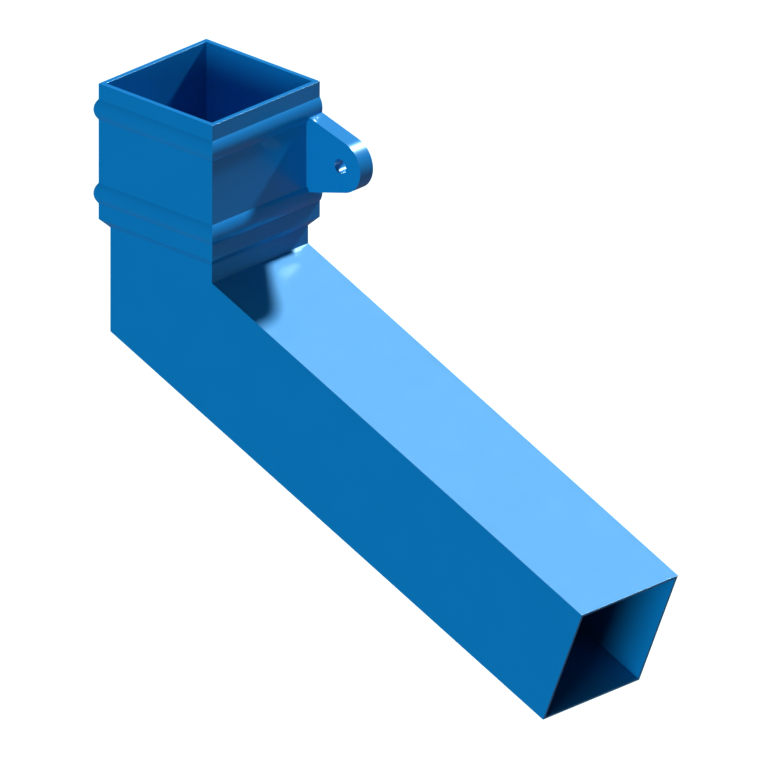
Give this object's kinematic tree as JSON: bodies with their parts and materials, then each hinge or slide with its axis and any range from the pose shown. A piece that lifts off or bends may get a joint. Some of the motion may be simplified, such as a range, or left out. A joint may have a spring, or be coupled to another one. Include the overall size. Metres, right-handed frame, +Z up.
{
  "type": "downspout elbow",
  "caption": "One-piece square downspout elbow: a beaded socket with screw ears, a mitred bend and a long plain leg that runs down and away.",
  "frame": {"origin": "midway between the two ear screw holes, on the plane of the wall that the socket's back and the ears lie against", "axes": "+X the way that the leg runs, level along the wall; +Y into the wall; +Z up, along the socket's axis towards its rim"},
  "size_m": [0.3967, 0.087, 0.2804],
  "materials": {
    "powder_coat": "blue semi-gloss powder coat on cast aluminium"
  },
  "bodies": {
    "root": {"elbow": "powder_coat"}
  },
  "joints": []
}
